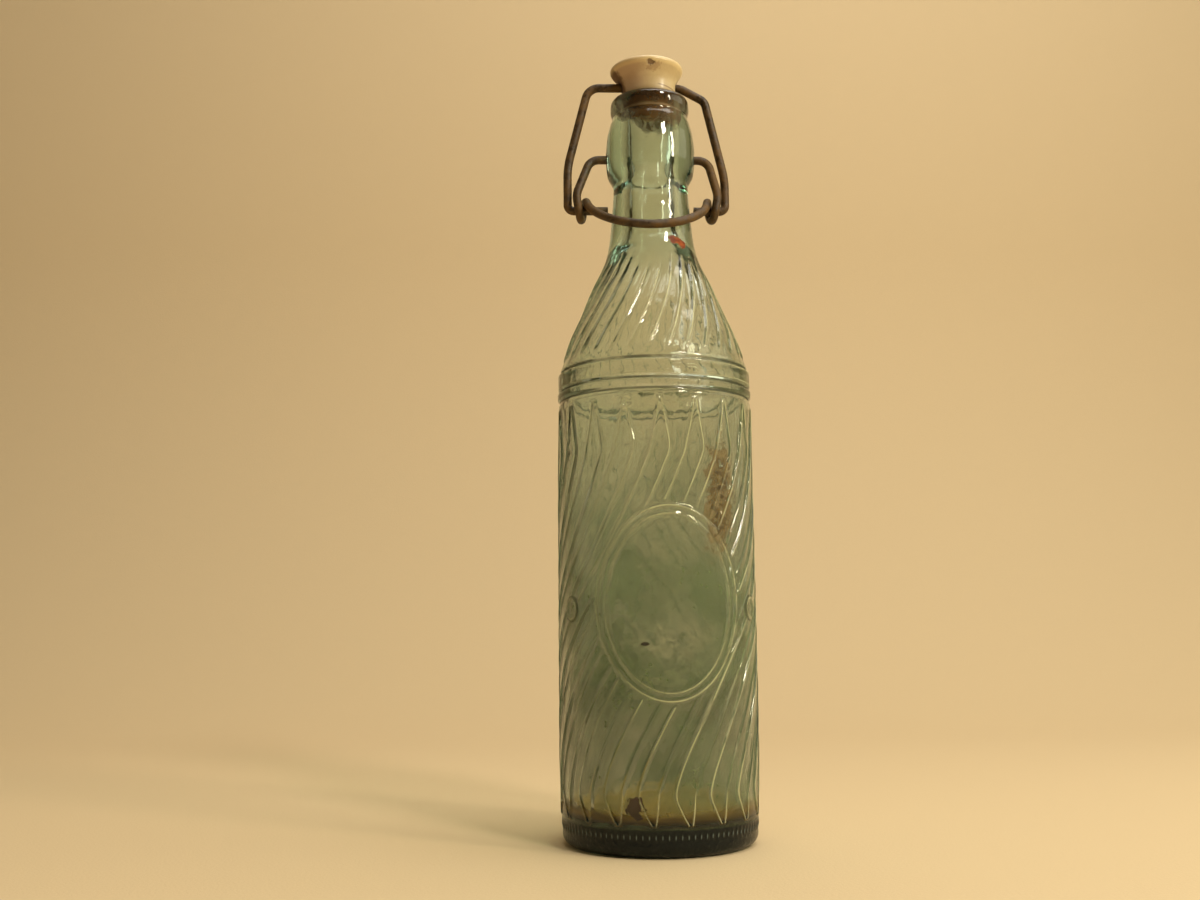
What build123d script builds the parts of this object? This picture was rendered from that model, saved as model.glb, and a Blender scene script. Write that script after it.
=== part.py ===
"""Swing-stopper bottle: a half-litre moulded glass bottle for fizzy drinks.

A porcelain stopper with a rubber washer closes the mouth. A wire bail passes through
the stopper and hangs in the two eyes of a wire lever, whose ends turn in sockets in the
glass. Pushing the lever's bow up from the neck lifts the stopper out of the mouth.

Frame: millimetres, +Z up, origin at the middle of the foot, front of the bottle at -Y.
"""

import os
from math import atan2, cos, hypot, pi, radians, sin

from build123d import *

os.makedirs("parts", exist_ok=True)

# Glass: body and foot
body_radius = 33.5
body_height = 147.0
wall = 2.9
floor_thickness = 4.4
floor_corner = 7.0
foot_width = 6.7
punt_height = 5.0
heel_inset = 0.9
heel_groove = 0.4
heel_fillet = 3.9
heel_band_height = 1.8
heel_taper_height = 40.0

# Glass: ring band between body and cone
band_height = 13.0
ring_rise = 0.3
ring_groove = 0.6
band_top_inset = 1.3

# Glass: cone, neck, bulge and lip, one on top of the other
cone_height = 47.5
bore_radius = 6.7
neck_height = 18.7
neck_wall = 6.6
neck_base_spread = 1.45
flare_height = 4.2
flare_rise = 1.9
bulge_height = 26.4
bulge_rise = 2.6
lip_height = 6.6
lip_groove_rise = 0.1
lip_rise = 0.75
lip_bevel = 1.95
mouth_depth = 2.8
mouth_flare = 2.5
throat_depth = 10.8
throat_flare = 1.0

# Glass: raised marks on the body
mark_rise = 0.45
mark_width = 1.2
medallion_turn = 2.5
medallion_height = 79.0
medallion_half_width = 23.2
medallion_half_height = 31.5
medallion_ring_gap = 2.6
side_mark_turn = 60.0
side_mark_height = 77.5
side_mark_half_width = 2.6
side_mark_half_height = 3.7

# Wire and the places it turns in: sockets in the bulge, eyes beside the neck, head above the lip
wire_radius = 1.5
pivot_rise = 10.9
eye_rise = 10.7
eye_set_back = 0.3
crossbar_rise = 5.0
pivot_clearance = 0.05
eye_clearance = 0.15
part_gap = 0.3
socket_depth = 3.0
socket_drop = 4.5

# Lever: its middle sits a little left of the bottle's axis
lever_middle = -1.5
eye_reach = 8.5
eye_strand_gap = 0.4
eye_lead = 5.0
left_shoulder_reach = 5.6
right_shoulder_reach = 4.7
shoulder_bend = 4.5
ankle_bend = 8.0
bow_dip = 40.0

# Bail: how far it stands out past the eyes, leans in and reaches towards the neck
bail_tip_gap = 2.1
bail_overhang = 3.8
bail_left_lean = 7.7
bail_right_lean = 6.7
bail_right_step = 1.3
bail_foot_bend = 2.2
bail_knee_bend = 30.0
bail_left_bend = 5.0
bail_right_bend = 4.0
bail_step_bend = 6.0

# Stopper and washer
head_gap = 0.8
head_inset = 0.8
head_waist_rise = 0.5
head_flare = 3.2
head_rim_rise = 6.2
head_edge = 2.3
head_crown = 0.9
spigot_inset = 1.7
bead_rise = 0.2
bead_height = 1.2
washer_reach = 7.9
washer_foot_inset = 2.3
washer_waist_inset = 1.2
washer_flange_inset = 0.1
washer_flange = 0.45

# Radii of the glass, from the body inwards and from the bore outwards
heel_radius = body_radius - heel_inset
heel_groove_radius = heel_radius - heel_groove
foot_outer_radius = heel_radius - heel_fillet
foot_inner_radius = foot_outer_radius - foot_width
ring_radius = body_radius + ring_rise
ring_groove_radius = body_radius - ring_groove
band_top_radius = body_radius - band_top_inset
inner_radius = body_radius - wall
neck_top_radius = bore_radius + neck_wall
neck_base_radius = neck_top_radius + neck_base_spread
flare_radius = neck_top_radius + flare_rise
bulge_radius = neck_top_radius + bulge_rise
lip_groove_radius = neck_top_radius + lip_groove_rise
lip_radius = lip_groove_radius + lip_rise
lip_land_radius = lip_radius - lip_bevel
throat_radius = bore_radius + throat_flare
mouth_radius = throat_radius + mouth_flare

# Heights of the glass, from the foot up
floor_height = punt_height + floor_thickness
heel_groove_height = heel_fillet + heel_band_height
band_end = body_height + band_height
neck_start = band_end + cone_height
bulge_start = neck_start + neck_height
flare_end = bulge_start + flare_height
lip_start = bulge_start + bulge_height
glass_height = lip_start + lip_height
throat_height = glass_height - mouth_depth
throat_start = throat_height - throat_depth

# Places of the wires and the stopper
pivot_height = bulge_start + pivot_rise
eye_height = neck_start + eye_rise
crossbar_height = glass_height + crossbar_rise
socket_floor = bulge_radius - socket_depth
eye_half_width = bulge_radius + eye_reach
head_bottom = glass_height + head_gap
head_rim_height = crossbar_height + head_rim_rise
head_top = head_rim_height + head_edge
head_bottom_radius = mouth_radius - head_inset
head_waist_radius = head_bottom_radius + head_waist_rise
head_radius = head_waist_radius + head_flare
washer_bottom = glass_height - washer_reach
washer_throat_radius = throat_radius - part_gap
washer_foot_radius = washer_throat_radius - washer_foot_inset
washer_flange_radius = head_bottom_radius - washer_flange_inset
spigot_radius = washer_foot_radius - spigot_inset
bead_radius = spigot_radius + bead_rise

# Raised marks: an oval of two rings on the front and a small ring on each side
inner_half_width = medallion_half_width - medallion_ring_gap
inner_half_height = medallion_half_height - medallion_ring_gap
marks = [
    (medallion_turn, medallion_height, medallion_half_width, medallion_half_height),
    (medallion_turn, medallion_height, inner_half_width, inner_half_height),
    (-side_mark_turn, side_mark_height, side_mark_half_width, side_mark_half_height),
    (side_mark_turn, side_mark_height, side_mark_half_width, side_mark_half_height),
]

mark_rings = []
for turn, height, half_width, half_height in marks:
    across = (cos(radians(turn)), sin(radians(turn)), 0)
    outward = (sin(radians(turn)), -cos(radians(turn)), 0)
    with BuildPart() as mark_ring:
        with BuildSketch(Plane.XY.offset(height - half_height - mark_width)):
            Circle(body_radius + mark_rise)
            Circle(body_radius - mark_rise, mode=Mode.SUBTRACT)
        extrude(amount=2 * (half_height + mark_width))
        with BuildSketch(Plane(origin=(0, 0, height), x_dir=across, z_dir=outward)):
            Ellipse(half_width, half_height)
            Ellipse(half_width - mark_width, half_height - mark_width, mode=Mode.SUBTRACT)
        extrude(amount=body_radius + wall, mode=Mode.INTERSECT)
    mark_rings.append(mark_ring.part)

# Bottle outline: band rings and cone as shares of the band and of the cone
ring_height_shares = (0.17, 0.35, 0.50, 0.78, 0.92)
ring_top_radius = (ring_groove_radius + ring_radius) / 2
ring_radii = (ring_radius, ring_groove_radius, ring_top_radius, ring_top_radius, ring_groove_radius)
ring_points = [
    (radius, body_height + band_height * share)
    for radius, share in zip(ring_radii, ring_height_shares)
]
cone_height_shares = (0.22, 0.55, 0.785)
cone_radius_shares = (0.80, 0.41, 0.14)
cone_spread = band_top_radius - neck_base_radius
cone_points = [
    (neck_base_radius + cone_spread * radius_share, band_end + cone_height * height_share)
    for height_share, radius_share in zip(cone_height_shares, cone_radius_shares)
]
punt_middle = (foot_inner_radius / 2, punt_height * 3 / 4)
bulge_middle_share = 0.4
bulge_middle = flare_end + (lip_start - flare_end) * bulge_middle_share
lip_middle = (lip_start + glass_height) / 2
cone_wall = wall * hypot(cone_height, cone_spread) / cone_height
floor_middle = floor_height + punt_height / 2
socket_radius = wire_radius + pivot_clearance

with BuildPart() as bottle:
    with BuildSketch(Plane.XZ):
        with BuildLine():
            punt_arc = ThreePointArc((0, punt_height), punt_middle, (foot_inner_radius, 0))
            foot_line = Line(punt_arc @ 1, (foot_outer_radius, 0))
            heel_arc = TangentArc(foot_line @ 1, (heel_radius, heel_fillet), tangent=(1, 0))
            Polyline(
                heel_arc @ 1,
                (heel_groove_radius, heel_groove_height),
                (heel_radius, heel_groove_height + mark_width),
                (body_radius, heel_taper_height),
                (body_radius, body_height),
                *ring_points,
                (band_top_radius, band_end),
            )
            cone_line = Spline(
                (band_top_radius, band_end), *cone_points, (neck_base_radius, neck_start)
            )
            neck_line = Line(cone_line @ 1, (neck_top_radius, bulge_start))
            flare_line = Line(neck_line @ 1, (flare_radius, flare_end))
            bulge_arc = ThreePointArc(
                flare_line @ 1, (bulge_radius, bulge_middle), (lip_groove_radius, lip_start)
            )
            lip_arc = ThreePointArc(
                bulge_arc @ 1, (lip_radius, lip_middle), (lip_land_radius, glass_height)
            )
            Polyline(lip_arc @ 1, (0, glass_height), (0, punt_height))
        make_face()
    revolve(axis=Axis.Z)
    add(mark_rings)

    # The hollow: floor, straight wall and cone, then the bore, throat and flared mouth
    with BuildSketch(Plane.XZ):
        with BuildLine():
            floor_line = Line((0, floor_middle), (inner_radius - floor_corner, floor_height))
            corner_arc = TangentArc(
                floor_line @ 1, (inner_radius, floor_height + floor_corner), tangent=floor_line % 1
            )
            wall_line = Line(corner_arc @ 1, (inner_radius, body_height))
            hollow_line = Spline(
                wall_line @ 1,
                *[(radius - cone_wall, height) for radius, height in cone_points[:2]],
                (bore_radius, neck_start + cone_wall),
                tangents=((0, 1), (0, 1)),
            )
            Polyline(
                hollow_line @ 1,
                (bore_radius, throat_start),
                (throat_radius, throat_height),
                (mouth_radius, glass_height),
                (0, glass_height),
                (0, floor_middle),
            )
        make_face()
    revolve(axis=Axis.Z, mode=Mode.SUBTRACT)

    # Sockets: an upright slot in each side of the bulge, the lever's end at its top
    for side in (-1, 1):
        with BuildSketch(Plane.YZ.offset(side * socket_floor)):
            with Locations((0, pivot_height - socket_drop / 2)):
                SlotCenterToCenter(socket_drop, 2 * socket_radius, rotation=90)
        extrude(amount=side * bulge_radius, mode=Mode.SUBTRACT)

bottle.part.label = "bottle"
export_step(bottle.part, "parts/bottle.step")

# Stopper: head, spigot and end bead turned in one, then the hole for the bail
crossbar_hole_radius = wire_radius + pivot_clearance

with BuildPart() as stopper:
    with BuildSketch(Plane.XZ):
        with BuildLine():
            crown_arc = ThreePointArc(
                (0, head_top + head_crown),
                ((head_radius - head_edge) / 2, head_top + head_crown * 3 / 4),
                (head_radius - head_edge, head_top),
            )
            edge_arc = TangentArc(crown_arc @ 1, (head_radius, head_rim_height), tangent=(1, 0))
            flank_line = Spline(
                edge_arc @ 1,
                (head_waist_radius, crossbar_height),
                (head_bottom_radius, head_bottom),
            )
            Polyline(
                flank_line @ 1,
                (spigot_radius, head_bottom),
                (spigot_radius, washer_bottom),
                (bead_radius, washer_bottom),
                (bead_radius, washer_bottom - bead_height / 2),
                (spigot_radius, washer_bottom - bead_height),
                (0, washer_bottom - bead_height),
                (0, head_top + head_crown),
            )
        make_face()
    revolve(axis=Axis.Z)
    with Locations(Location((0, 0, crossbar_height), (0, 90, 0))):
        Hole(crossbar_hole_radius)

stopper.part.label = "stopper"
export_step(stopper.part, "parts/stopper.step")

# Washer: a tapered rubber ring on the spigot, with a thin flange under the head
washer_waist_radius = washer_throat_radius - washer_waist_inset
washer_shoulder = head_bottom - washer_flange

with BuildPart() as washer:
    with BuildSketch(Plane.XZ):
        with BuildLine():
            Polyline(
                (spigot_radius, washer_bottom),
                (washer_foot_radius, washer_bottom),
                (washer_waist_radius, (washer_bottom + throat_height) / 2),
                (washer_throat_radius, throat_height),
                (washer_flange_radius, washer_shoulder),
                (washer_flange_radius, head_bottom),
                (spigot_radius, head_bottom),
                (spigot_radius, washer_bottom),
            )
        make_face()
    revolve(axis=Axis.Z)

washer.part.label = "washer"
export_step(washer.part, "parts/washer.step")

# Bail: one bent wire in the plane through its two ends and the crossbar
bail_rise = hypot(crossbar_height - eye_height, eye_set_back)
bail_up = (0, -eye_set_back / bail_rise, (crossbar_height - eye_height) / bail_rise)
bail_plane = Plane(
    origin=(0, eye_set_back, eye_height), x_dir=(1, 0, 0), z_dir=(0, -bail_up[2], bail_up[1])
)
left_knee_share = 0.35
right_knee_share = 0.26
right_corner_share = 0.895
bail_tip = neck_top_radius + bail_tip_gap
bail_left_reach = eye_half_width - lever_middle + bail_overhang
bail_right_reach = eye_half_width + lever_middle + bail_overhang
bail_points = [
    (-bail_tip, 0),
    (-bail_left_reach, 0),
    (-bail_left_reach, bail_rise * left_knee_share),
    (bail_left_lean - bail_left_reach, bail_rise),
    (head_waist_radius + bail_right_step, bail_rise),
    (bail_right_reach - bail_right_lean, bail_rise * right_corner_share),
    (bail_right_reach, bail_rise * right_knee_share),
    (bail_right_reach, 0),
    (bail_tip, 0),
]
bail_bends = [
    bail_foot_bend,
    bail_knee_bend,
    bail_left_bend,
    bail_step_bend,
    bail_right_bend,
    bail_knee_bend,
    bail_foot_bend,
]

with BuildPart() as bail:
    with BuildLine(bail_plane):
        FilletPolyline(*bail_points, radius=bail_bends)
    with BuildSketch(Plane.YZ.offset(-bail_tip)):
        with Locations((eye_set_back, eye_height)):
            Circle(wire_radius)
    sweep()

bail.part.label = "bail"
export_step(bail.part, "parts/bail.step")

# Lever: one bent wire, from a socket down through an eye, round the bow and back
eye_radius = 2 * wire_radius + eye_clearance
eye_pitch = 2 * wire_radius + eye_strand_gap
eye_tilt = atan2(eye_pitch, 2 * pi * eye_radius)
eye_turns = (270 + bow_dip) / 360
eye_travel = eye_pitch * eye_turns
dip = radians(bow_dip)
leg_half_width = eye_half_width - eye_travel
leg_start = (eye_set_back - eye_radius * sin(dip), eye_height + eye_radius * cos(dip))
bow_reach = (leg_start[0] + neck_base_radius + part_gap + wire_radius) / cos(dip)
arc_share = (1 - sin(eye_tilt)) / cos(eye_tilt)
leg_length = (bow_reach - leg_half_width * arc_share) / (
    cos(eye_tilt) - sin(eye_tilt) * arc_share
)
lever_tip = socket_floor + part_gap

eye_wires = {}
for side in (-1, 1):
    eye_plane = Plane(
        origin=(lever_middle + side * eye_half_width, eye_set_back, eye_height),
        x_dir=(0, -1, 0),
        z_dir=(-side, 0, 0),
    )
    turn = Edge.make_helix(eye_pitch, eye_travel, eye_radius, lefthand=side > 0)
    eye_wires[side] = eye_plane.location * turn

with BuildPart() as lever:
    with BuildLine() as lever_path:
        leg_ends = {}
        for side, reach in ((-1, left_shoulder_reach), (1, right_shoulder_reach)):
            eye_side = lever_middle + side * eye_half_width
            eye_front = (eye_side, eye_set_back - eye_radius, eye_height)
            ankle = (
                eye_side + side * eye_lead * sin(eye_tilt),
                eye_set_back - eye_radius,
                eye_height + eye_lead * cos(eye_tilt),
            )
            FilletPolyline(
                (side * lever_tip, 0, pivot_height),
                (side * (bulge_radius + reach), 0, pivot_height),
                ankle,
                eye_front,
                radius=[shoulder_bend, ankle_bend],
            )
            add(eye_wires[side])
            leg_foot = Vector(lever_middle + side * leg_half_width, *leg_start)
            leg_run = Vector(
                -side * sin(eye_tilt), -cos(eye_tilt) * cos(dip), -cos(eye_tilt) * sin(dip)
            )
            leg = Line(leg_foot, leg_foot + leg_run * leg_length)
            leg_ends[side] = (leg @ 1, leg_run)
        TangentArc(leg_ends[-1][0], leg_ends[1][0], tangent=leg_ends[-1][1])
    with BuildSketch(Plane.YZ.offset(-lever_tip)):
        with Locations((0, pivot_height)):
            Circle(wire_radius)
    sweep(path=lever_path.wires()[0])

lever.part.label = "lever"
export_step(lever.part, "parts/lever.step")
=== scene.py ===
"""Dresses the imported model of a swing-stopper bottle: moulded glass, porcelain, rubber and wire."""

# %% [markdown]
# # A swing-stopper bottle
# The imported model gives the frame: a glass bottle, a porcelain stopper with its rubber
# washer, and two bent wires that turn on each other. Everything here is in its frame, in
# metres, with the foot at z = 0 and the front towards -Y. Lengths are thought of in
# millimetres, as on a drawing, and multiplied by MM when they become points.

# %% Frame
from math import cos, radians, sin

import bpy
import numpy as np
from mathutils import Matrix


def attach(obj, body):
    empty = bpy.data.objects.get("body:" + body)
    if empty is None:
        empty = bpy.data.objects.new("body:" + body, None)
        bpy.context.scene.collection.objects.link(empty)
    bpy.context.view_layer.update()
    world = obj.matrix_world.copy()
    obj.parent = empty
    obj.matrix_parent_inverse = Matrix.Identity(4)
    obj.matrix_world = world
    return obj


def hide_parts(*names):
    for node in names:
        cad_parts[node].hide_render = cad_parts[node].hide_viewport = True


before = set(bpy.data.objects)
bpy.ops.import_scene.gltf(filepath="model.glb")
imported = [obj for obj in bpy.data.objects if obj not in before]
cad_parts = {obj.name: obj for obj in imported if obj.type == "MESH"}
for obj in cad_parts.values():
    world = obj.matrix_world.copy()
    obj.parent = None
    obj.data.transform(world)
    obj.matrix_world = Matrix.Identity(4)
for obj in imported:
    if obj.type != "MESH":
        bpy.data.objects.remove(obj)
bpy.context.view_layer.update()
MM = 0.001

# %% [markdown]
# ## Camera
# The photograph was taken from about 430 mm away, level with the lower third of the bottle
# and looking slightly up along it. The lens gives 1250 pixels of focal length for a picture
# 1200 pixels wide, which is 37.5 mm on a 36 mm sensor. The rings of the bottle open upwards
# or downwards with their height, and that fixed the camera's height.

# %% Camera
def aim(yaw, pitch, roll):
    """Camera axes as a rotation: forward is +Y turned by yaw to the right and pitch up, and
    roll turns right and up about it. Blender's camera looks along its own -Z."""
    yaw, pitch, roll = radians(yaw), radians(pitch), radians(roll)
    forward = np.array([sin(yaw) * cos(pitch), cos(yaw) * cos(pitch), sin(pitch)])
    level = np.array([cos(yaw), -sin(yaw), 0.0])
    upright = np.cross(level, forward)
    right = cos(roll) * level + sin(roll) * upright
    up = -sin(roll) * level + cos(roll) * upright
    return Matrix(np.stack([right, up, -forward], 1).tolist()).to_4x4()


EYE, YAW, PITCH, ROLL = (-0.0371, -0.4299, 0.0735), 2.413, 7.764, -0.527
lens = bpy.data.cameras.new("camera")
lens.sensor_width, lens.lens, lens.clip_start = 36.0, 37.5, 0.01
camera = bpy.data.objects.new("camera", lens)
camera.matrix_world = Matrix.Translation(EYE) @ aim(YAW, PITCH, ROLL)
bpy.context.scene.collection.objects.link(camera)
bpy.context.scene.camera = camera
print("camera at", [round(v, 4) for v in camera.location])

# %% [markdown]
# ## Curves and skins
# Glass, porcelain and rubber are round, so each is a profile carried round the axis. A
# profile is a smooth curve through a few measured points. The surface is worked out as one
# array of points, rows along the profile and columns round it, and put into a mesh at once.

# %% Curve through points
def through(places, values):
    """A smooth curve through values at places: cubic pieces whose slope at each point is the
    harmonic mean of the slopes on its two sides, and zero at a turn, so it never overshoots."""
    x, v = np.array(places, float), np.array(values, float)
    step = np.diff(x)
    slope = np.diff(v) / step
    before, after = slope[:-1], slope[1:]
    same_way = before * after > 0
    total = np.where(same_way, before + after, 1.0)
    tangent = np.r_[slope[0], np.where(same_way, 2 * before * after / total, 0.0), slope[-1]]

    def at(place):
        i = np.clip(np.searchsorted(x, place) - 1, 0, len(step) - 1)
        t = np.clip((place - x[i]) / step[i], 0, 1)
        ends = (1 + 2 * t) * (1 - t) ** 2 * v[i] + t * t * (3 - 2 * t) * v[i + 1]
        bends = t * (1 - t) ** 2 * tangent[i] + t * t * (t - 1) * tangent[i + 1]
        return ends + bends * step[i]

    return at


def ease(low, high, value):
    """0 below low, 1 above high and a smooth S between them."""
    t = np.clip((value - low) / (high - low), 0, 1)
    return t * t * (3 - 2 * t)


def bump_line(distance, width):
    """The section of a rounded ridge: 1 on its middle line, falling off as a bell curve."""
    return np.exp(-((distance / width) ** 2))


print("halfway through 0, 1 and 0:", through((0, 1, 2), (0, 1, 0))(np.array([0.5, 1.5])))


# %% Skin of a round piece
def skin(name, points, first, last):
    """A closed mesh from points in millimetres, an array of rows by columns by 3. Each row
    closes on itself, and fans from the points first and last close the two ends."""
    rows, columns, _ = points.shape
    here = np.arange(rows * columns).reshape(rows, columns)
    right = np.roll(here, -1, axis=1)
    quads = np.stack([here[:-1], right[:-1], right[1:], here[1:]], -1).reshape(-1, 4)
    low_pole, high_pole = rows * columns, rows * columns + 1
    low = np.stack([np.full(columns, low_pole), right[0], here[0]], -1)
    high = np.stack([here[-1], right[-1], np.full(columns, high_pole)], -1)
    corners = np.vstack([points.reshape(-1, 3), [first, last]]) * MM
    mesh = bpy.data.meshes.new(name)
    mesh.from_pydata(corners, [], quads.tolist() + low.tolist() + high.tolist())
    mesh.polygons.foreach_set("use_smooth", np.ones(len(mesh.polygons), bool))
    mesh.update()
    piece = bpy.data.objects.new(name, mesh)
    bpy.context.scene.collection.objects.link(piece)
    print(name, "triangles:", 2 * len(quads) + 2 * columns)
    return piece


# %% [markdown]
# ## The shape of the glass
# The bottle was pressed in a mould, so its outside is crisp and its inside is soft and
# uneven. Its outline is one curve outside and one for the hollow, through points measured up
# the bottle. Up the body run slanted leaves with a thin raised edge, pointed above and below.
# The mesh would need millions of faces if its columns stood upright across those slanted
# edges. Here each column instead leans with the leaves: it turns about the axis as it
# climbs, and the columns crowd together at the leaf's edge. An edge then lies along a column,
# and far fewer faces draw it clean.

# %% Outline of the glass
outside_heights = (
    3.9, 5.6, 7.0, 9.0, 40, 146.6, 148.4, 149.4, 150.9, 151.9, 152.9, 157.6, 158.5, 159.4,
    160.8, 162.4, 170.5, 178.3, 186.1, 197.3, 203.0, 207.5, 218, 226.2, 228.2, 230.6, 234.5,
    239.3, 244.5, 249.4, 252.3, 253.4, 255.0, 257.0, 258.4, 259.2,
)
outside_radii = (
    32.6, 32.45, 32.6, 32.8, 33.3, 33.3, 32.75, 33.6, 33.65, 32.6, 33.4, 33.35, 32.3, 32.5,
    32.15, 31.45, 28.65, 25.15, 21.9, 17.1, 15.45, 14.7, 13.75, 13.3, 14.0, 15.2, 15.75,
    15.85, 15.45, 14.35, 13.4, 13.75, 14.1, 14.05, 13.5, 12.3,
)
outside = through(outside_heights, outside_radii)
inside_heights = (16.4, 147.0, 158.0, 170.5, 186.1, 197.5, 206.0, 212.0, 245.6, 256.4, 259.1)
inside_radii = (30.6, 30.6, 29.2, 25.6, 18.8, 12.2, 8.0, 6.75, 6.7, 7.7, 10.15)
inside = through(inside_heights, inside_radii)
BODY = 33.5  # the radius at which widths round the body are measured
print("outline points:", len(outside_heights), "outside,", len(inside_heights), "in the hollow")

# %% Turn and width of the leaves, in degrees
leaf_middle = through(
    (9.8, 14.4, 19.1, 24.7, 30.9, 41.2, 46.4, 61.9, 81.4, 97.9, 117.0, 121.6, 128.9, 135.0,
     140.2, 144.3, 158.0, 163.0, 198.0, 204.0),
    (-108, -109.5, -110.7, -108.3, -104, -95, -90, -73.6, -48.0, -27.4, -10, -6.7, -2.1, -1.5,
     -1.4, -1.5, -1.5, 0.0, 27.2, 29.0),
)
leaf_half_width = through(
    (9.8, 14.4, 19.1, 24.7, 41.0, 117.0, 121.6, 128.9, 135.0, 140.2, 144.3),
    (0.9, 3.5, 5.3, 5.6, 5.6, 5.6, 5.6, 5.4, 3.5, 1.9, 0.8),
)
LEAVES, FLUTES, KNOBS = 18, 30, 100
LEAF_PITCH = 360 / LEAVES

# The columns of one leaf, on a scale where 6 is its edge and 10 the middle of the gap.
AT_EDGE, MID_GAP = 6, 10
leaf_places = np.array([1.5, 3.0, 4.2, 5.0, 5.5, 6.0, 6.5, 7.1, 8.3])
leaf_places = np.r_[-MID_GAP, -leaf_places[::-1], 0.0, leaf_places, MID_GAP]
print("a leaf turns", round(float(leaf_middle(144) - leaf_middle(10))), "degrees on its way up")

# %% Relief of the glass
def leaves(turn, height):
    """Leaf relief in mm: a low plateau with a thin ridge along its edge, and the ground
    between the leaves a little lower. The distance in from the edge is taken square to it.
    The second result marks the ridge, less so on the right edge low down, where it is blunt."""
    offset = (turn - leaf_middle(height) + LEAF_PITCH / 2) % LEAF_PITCH - LEAF_PITCH / 2
    inward = (leaf_half_width(height) - np.abs(offset)) * 0.52
    present = ease(9.5, 10.4, height) * (1 - ease(144.6, 145.8, height))
    sunk = ease(9.0, 17.0, height) * (1 - ease(137.0, 145.0, height))
    ridge = present * bump_line(inward, 0.42)
    blunt = 0.4 * ease(-1, 1, offset) * (1 - ease(95, 125, height)) * ease(16, 24, height)
    return sunk * (0.34 * ease(-0.8, 0.4, inward) - 0.3) + 0.41 * ridge, ridge * (1 - blunt)


def oval(turn, height, middle_turn, middle_height, half_width, half_height):
    """How far a point lies from an oval drawn on the glass: 1 on it, under 1 inside. The oval
    is a flat one pressed straight onto the round side, and the bottle's far side counts as
    well outside it, at 9."""
    across = BODY * np.sin(np.radians(turn - middle_turn)) / half_width
    along = (height - middle_height) / half_height
    facing = np.cos(np.radians(turn - middle_turn)) > 0
    return np.where(facing, np.hypot(across, along), 9.0)


def oval_ring(turn, height, middle_turn, middle_height, half_width, half_height, rise, width):
    """A raised ring along such an oval, as a ridge of that rise and width in mm."""
    away = oval(turn, height, middle_turn, middle_height, half_width, half_height) - 1
    return rise * bump_line(away * (half_width + half_height) / 2, width)


def flutes(turn, height):
    """Slanted ridges of the cone, one every 12 degrees, and how near each point is to one."""
    share = (turn - 5.8 - 0.776 * (height - 180.4)) * FLUTES / 360
    away = np.abs(share - np.round(share)) * 360 / FLUTES * np.radians(outside(height))
    span = ease(161.8, 164.2, height) * (1 - ease(188, 201, height))
    ridge = bump_line(away, 0.62)
    return (0.62 * ridge - 0.1) * span, ridge * span


def knobs(turn, height):
    """A row of small upright beads round the top of the heel, where the mould was knurled."""
    share = turn * KNOBS / 360
    away = np.abs(share - np.round(share)) * 360 / KNOBS * np.radians(BODY)
    bead = bump_line(away, 0.36) * bump_line(height - 6.7, 1.3)
    return 0.3 * bead, bead


def waver(turn, height, size):
    """Slow unevenness of hand-fed glass: three long waves across each other."""
    a, h = np.radians(turn), height
    waves = np.sin(2 * a + h / 19 + 0.7) + 0.7 * np.sin(3 * a - h / 13 + 2.1)
    return size * (waves + 0.5 * np.sin(5 * a + h / 7.3))


# %% All of the relief
OVAL_MIDDLE = 2.5, 79.0
SIDE_MIDDLES = (-62, 77.2), (62, 77.2)
SPOT_MIDDLE = -20.5, 144.0
BIG_RISE, SMALL_RISE = 0.55, 0.42
HOOPS = (150.2, 0.4), (153.2, 0.3), (157.4, 0.3)


def relief(turn, height):
    """Everything raised or sunk on the outside, in mm, and how near each point is to the top
    of a raised edge, from 0 to 1. The leaves stop short of the oval and the side rings."""
    within = oval(turn, height, *OVAL_MIDDLE, 23.2, 31.5)
    side = np.minimum(*(oval(turn, height, *middle, 3.2, 3.6) for middle in SIDE_MIDDLES))
    bare = ease(1.0, 1.05, within) * ease(1.1, 1.5, side)
    big = oval_ring(turn, height, *OVAL_MIDDLE, 22.6, 30.9, BIG_RISE, 0.48)
    big += oval_ring(turn, height, *OVAL_MIDDLE, 20.0, 28.3, 0.5, 0.48)
    small = oval_ring(turn, height, *SIDE_MIDDLES[0], 2.9, 3.3, SMALL_RISE, 0.5)
    small += oval_ring(turn, height, *SIDE_MIDDLES[1], 2.9, 3.3, SMALL_RISE, 0.5)
    small += oval_ring(turn, height, *SPOT_MIDDLE, 1.9, 1.9, 0.35, 0.45)
    hoops = sum(bump_line(height - at, width) for at, width in HOOPS)
    leaf, leaf_edge = leaves(turn, height)
    flute, flute_edge = flutes(turn, height)
    knob, knob_edge = knobs(turn, height)
    edges = leaf_edge * bare, big / BIG_RISE, small / SMALL_RISE, flute_edge, knob_edge, hoops
    return leaf * bare + big + small + flute + knob, np.max(np.broadcast_arrays(*edges), 0)


top_of_oval = relief(np.array([2.5]), np.array([79 + 30.9]))
print("the oval's outer ring rises", round(float(top_of_oval[0][0]), 2), "mm")

# %% [markdown]
# The oval and the small rings don't follow the columns, so they need a much finer mesh than
# the rest. The wall is worked out finely everywhere and then cut into blocks of several
# shapes, the largest first. A block that is nearly flat becomes a single face. A long ridge
# then gets tall narrow faces, a ring round the bottle gets wide low ones, and only what bends
# both ways keeps its smallest cells. The wall ends up with a tenth as many faces as the fine
# grid has cells.

# %% Blocks of the wall
TALL, WIDE = 6, 2
BLOCKS = (
    (12, 4), (12, 2), (6, 4), (TALL, WIDE), (2, 4), (1, 4), (6, 1), (3, 2), (2, 2), (1, 2),
    (3, 1), (2, 1), (1, 1),
)


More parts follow.
